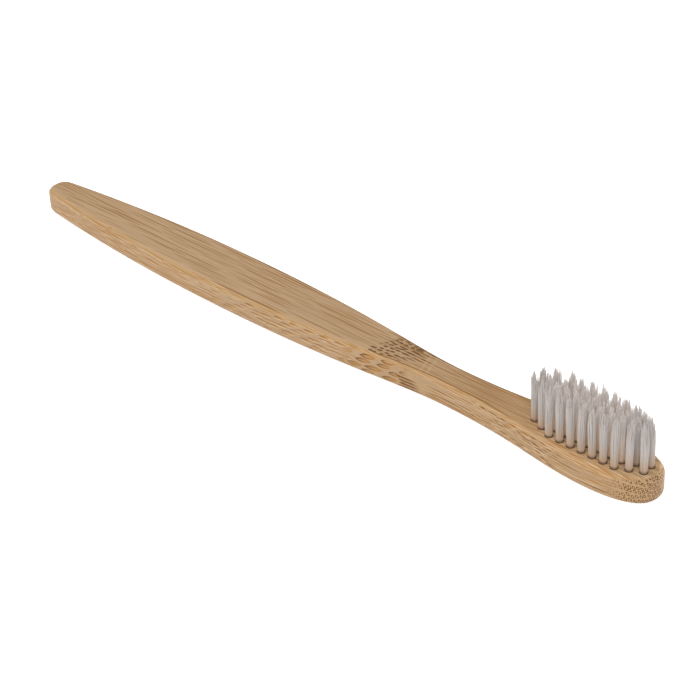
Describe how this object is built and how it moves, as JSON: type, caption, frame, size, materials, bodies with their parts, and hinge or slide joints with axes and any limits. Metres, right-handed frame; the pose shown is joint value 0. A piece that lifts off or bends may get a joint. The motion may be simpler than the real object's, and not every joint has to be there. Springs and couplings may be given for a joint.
{
  "type": "toothbrush",
  "caption": "Manual toothbrush with a flat one-piece bamboo handle, narrow neck, oval head and upright nylon bristle tufts set in drilled holes.",
  "frame": {"origin": "centre of the bounding box's base, on the flat back of the handle", "axes": "+X along the handle towards the tip of the head, +Y across the handle, +Z from the back towards the bristle tips"},
  "size_m": [0.175, 0.0142, 0.018],
  "materials": {
    "bamboo": "fine-sanded, unvarnished bamboo with streaks of darker fibre along the grain",
    "bristle_nylon": "semi-translucent off-white nylon filament"
  },
  "bodies": {
    "root": {"handle": "bamboo", "tuft_01_1": "bristle_nylon", "tuft_01_2": "bristle_nylon", "tuft_02_1": "bristle_nylon", "tuft_02_2": "bristle_nylon", "tuft_02_3": "bristle_nylon", "tuft_03_1": "bristle_nylon", "tuft_03_2": "bristle_nylon", "tuft_03_3": "bristle_nylon", "tuft_03_4": "bristle_nylon", "tuft_04_1": "bristle_nylon", "tuft_04_2": "bristle_nylon", "tuft_04_3": "bristle_nylon", "tuft_04_4": "bristle_nylon", "tuft_05_1": "bristle_nylon", "tuft_05_2": "bristle_nylon", "tuft_05_3": "bristle_nylon", "tuft_05_4": "bristle_nylon", "tuft_06_1": "bristle_nylon", "tuft_06_2": "bristle_nylon", "tuft_06_3": "bristle_nylon", "tuft_06_4": "bristle_nylon", "tuft_07_1": "bristle_nylon", "tuft_07_2": "bristle_nylon", "tuft_07_3": "bristle_nylon", "tuft_07_4": "bristle_nylon", "tuft_08_1": "bristle_nylon", "tuft_08_2": "bristle_nylon", "tuft_08_3": "bristle_nylon", "tuft_08_4": "bristle_nylon", "tuft_09_1": "bristle_nylon", "tuft_09_2": "bristle_nylon", "tuft_09_3": "bristle_nylon", "tuft_09_4": "bristle_nylon", "tuft_10_1": "bristle_nylon", "tuft_10_2": "bristle_nylon", "tuft_10_3": "bristle_nylon", "tuft_11_1": "bristle_nylon", "tuft_11_2": "bristle_nylon"}
  },
  "joints": []
}
